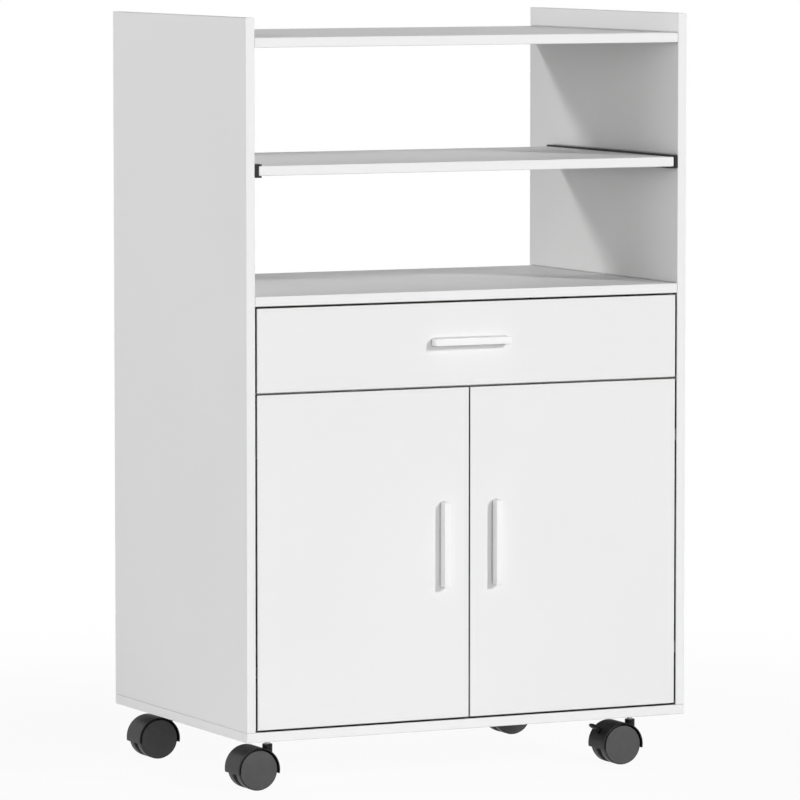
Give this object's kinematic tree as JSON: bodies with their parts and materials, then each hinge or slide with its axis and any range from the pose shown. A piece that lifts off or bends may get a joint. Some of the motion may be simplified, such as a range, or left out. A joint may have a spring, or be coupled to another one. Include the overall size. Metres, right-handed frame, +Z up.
{
  "type": "kitchen storage cabinet",
  "caption": "White rolling kitchen cabinet: open top tray, pull-out shelf on black rails, counter shelf, drawer and doors over hooded casters.",
  "frame": {"origin": "on the floor, under the centre of the outline with the handles", "axes": "+X to the right seen from the front, +Y from the front to the back, +Z up"},
  "size_m": [0.6, 0.4124, 0.9377],
  "materials": {
    "white_board": "satin white melamine on particle board",
    "white_backboard": "matt white coated fibreboard",
    "handle_white": "satin white moulded plastic",
    "rail_black": "matt black extruded plastic",
    "steel": "zinc plated",
    "zinc": "bare die-cast zinc",
    "runner_white": "white powder coat",
    "roller_nylon": "natural nylon",
    "catch_plastic": "white moulded plastic",
    "caster_hood_plastic": "semi-gloss black nylon",
    "caster_wheel_plastic": "dark grey nylon"
  },
  "bodies": {
    "cabinet": {"left_side_panel": "white_board", "right_side_panel": "white_board", "bottom_panel": "white_board", "top_shelf": "white_board", "counter_shelf": "white_board", "back_panel": "white_backboard", "divider_rail": "white_board", "adjustable_shelf": "white_board", "shelf_pins": "steel", "cam_locks": "zinc", "cam_bolts": "steel", "shelf_rails": "rail_black", "runner_tracks": "runner_white", "hinge_arms": "steel", "cabinet_screws": "steel", "caster_stems": "steel", "stem_inserts": "steel", "door_catches": "catch_plastic"},
    "pull_out_shelf": {"sliding_shelf": "white_board", "shelf_stop_pegs": "steel"},
    "drawer": {"drawer_front": "white_board", "drawer_left_side": "white_board", "drawer_right_side": "white_board", "drawer_back": "white_board", "drawer_bottom": "white_backboard", "drawer_runners": "runner_white", "drawer_handle": "handle_white", "drawer_fixings": "steel"},
    "track_rollers": {"track_rollers": "roller_nylon"},
    "drawer_rollers": {"drawer_rollers": "roller_nylon"},
    "left_door": {"left_door": "white_board", "left_door_handle": "handle_white", "left_hinge_cups": "steel", "left_hinge_pins": "steel", "left_door_screws": "steel", "left_strike_plate": "steel"},
    "right_door": {"right_door": "white_board", "right_door_handle": "handle_white", "right_hinge_cups": "steel", "right_hinge_pins": "steel", "right_door_screws": "steel", "right_strike_plate": "steel"},
    "front_left_caster": {"front_left_hood": "caster_hood_plastic", "front_left_axle": "steel"},
    "front_left_near_wheel": {"front_left_near_wheel": "caster_wheel_plastic"},
    "front_left_far_wheel": {"front_left_far_wheel": "caster_wheel_plastic"},
    "back_left_caster": {"back_left_hood": "caster_hood_plastic", "back_left_axle": "steel"},
    "back_left_near_wheel": {"back_left_near_wheel": "caster_wheel_plastic"},
    "back_left_far_wheel": {"back_left_far_wheel": "caster_wheel_plastic"},
    "front_right_caster": {"front_right_hood": "caster_hood_plastic", "front_right_axle": "steel"},
    "front_right_near_wheel": {"front_right_near_wheel": "caster_wheel_plastic"},
    "front_right_far_wheel": {"front_right_far_wheel": "caster_wheel_plastic"},
    "front_right_brake_lever": {"front_right_brake_lever": "caster_hood_plastic"},
    "back_right_caster": {"back_right_hood": "caster_hood_plastic", "back_right_axle": "steel"},
    "back_right_near_wheel": {"back_right_near_wheel": "caster_wheel_plastic"},
    "back_right_far_wheel": {"back_right_far_wheel": "caster_wheel_plastic"},
    "back_right_brake_lever": {"back_right_brake_lever": "caster_hood_plastic"}
  },
  "joints": [
    {"name": "shelf_slide", "type": "slide", "parent": "cabinet", "child": "pull_out_shelf", "axis": [0, -1, 0], "range_m": [0, 0.18]},
    {"name": "drawer_slide", "type": "slide", "parent": "cabinet", "child": "drawer", "axis": [0, -1, 0], "range_m": [0, 0.26]},
    {"name": "track_roller_turn", "type": "hinge", "parent": "cabinet", "child": "track_rollers", "pos_m": [0, -0.16575, 0.5127], "axis": [1, 0, 0], "range_deg": [-10, 1780]},
    {"name": "drawer_roller_turn", "type": "hinge", "parent": "drawer", "child": "drawer_rollers", "pos_m": [0, 0.15525, 0.5104], "axis": [1, 0, 0], "range_deg": [-10, 1780]},
    {"name": "left_door_hinge", "type": "hinge", "parent": "cabinet", "child": "left_door", "pos_m": [-0.2776, -0.18775, 0.0784], "axis": [0, 0, -1], "range_deg": [0, 95]},
    {"name": "right_door_hinge", "type": "hinge", "parent": "cabinet", "child": "right_door", "pos_m": [0.2776, -0.18775, 0.0784], "axis": [0, 0, 1], "range_deg": [0, 95]},
    {"name": "front_left_swivel", "type": "hinge", "parent": "cabinet", "child": "front_left_caster", "pos_m": [-0.25, -0.14375, 0.0542], "axis": [0, 0, 1], "continuous": true},
    {"name": "front_left_near_wheel_spin", "type": "hinge", "parent": "front_left_caster", "child": "front_left_near_wheel", "pos_m": [-0.27, -0.14375, 0.025], "axis": [0, 1, 0], "continuous": true},
    {"name": "front_left_far_wheel_spin", "type": "hinge", "parent": "front_left_caster", "child": "front_left_far_wheel", "pos_m": [-0.27, -0.14375, 0.025], "axis": [0, 1, 0], "continuous": true},
    {"name": "back_left_swivel", "type": "hinge", "parent": "cabinet", "child": "back_left_caster", "pos_m": [-0.25, 0.15625, 0.0542], "axis": [0, 0, 1], "continuous": true},
    {"name": "back_left_near_wheel_spin", "type": "hinge", "parent": "back_left_caster", "child": "back_left_near_wheel", "pos_m": [-0.27, 0.15625, 0.025], "axis": [0, 1, 0], "continuous": true},
    {"name": "back_left_far_wheel_spin", "type": "hinge", "parent": "back_left_caster", "child": "back_left_far_wheel", "pos_m": [-0.27, 0.15625, 0.025], "axis": [0, 1, 0], "continuous": true},
    {"name": "front_right_swivel", "type": "hinge", "parent": "cabinet", "child": "front_right_caster", "pos_m": [0.25, -0.14375, 0.0542], "axis": [0, 0, 1], "continuous": true},
    {"name": "front_right_near_wheel_spin", "type": "hinge", "parent": "front_right_caster", "child": "front_right_near_wheel", "pos_m": [0.23, -0.14375, 0.025], "axis": [0, 1, 0], "continuous": true},
    {"name": "front_right_far_wheel_spin", "type": "hinge", "parent": "front_right_caster", "child": "front_right_far_wheel", "pos_m": [0.23, -0.14375, 0.025], "axis": [0, 1, 0], "continuous": true},
    {"name": "front_right_brake", "type": "hinge", "parent": "front_right_caster", "child": "front_right_brake_lever", "pos_m": [0.215, -0.14375, 0.04], "axis": [0, -1, 0], "range_deg": [0, 28]},
    {"name": "back_right_swivel", "type": "hinge", "parent": "cabinet", "child": "back_right_caster", "pos_m": [0.25, 0.15625, 0.0542], "axis": [0, 0, 1], "continuous": true},
    {"name": "back_right_near_wheel_spin", "type": "hinge", "parent": "back_right_caster", "child": "back_right_near_wheel", "pos_m": [0.23, 0.15625, 0.025], "axis": [0, 1, 0], "continuous": true},
    {"name": "back_right_far_wheel_spin", "type": "hinge", "parent": "back_right_caster", "child": "back_right_far_wheel", "pos_m": [0.23, 0.15625, 0.025], "axis": [0, 1, 0], "continuous": true},
    {"name": "back_right_brake", "type": "hinge", "parent": "back_right_caster", "child": "back_right_brake_lever", "pos_m": [0.215, 0.15625, 0.04], "axis": [0, -1, 0], "range_deg": [0, 28]}
  ],
  "couplings": [
    {"joint": "track_roller_turn", "follows": "drawer_slide", "rad_per_m": 117.65},
    {"joint": "drawer_roller_turn", "follows": "drawer_slide", "rad_per_m": 117.65}
  ]
}
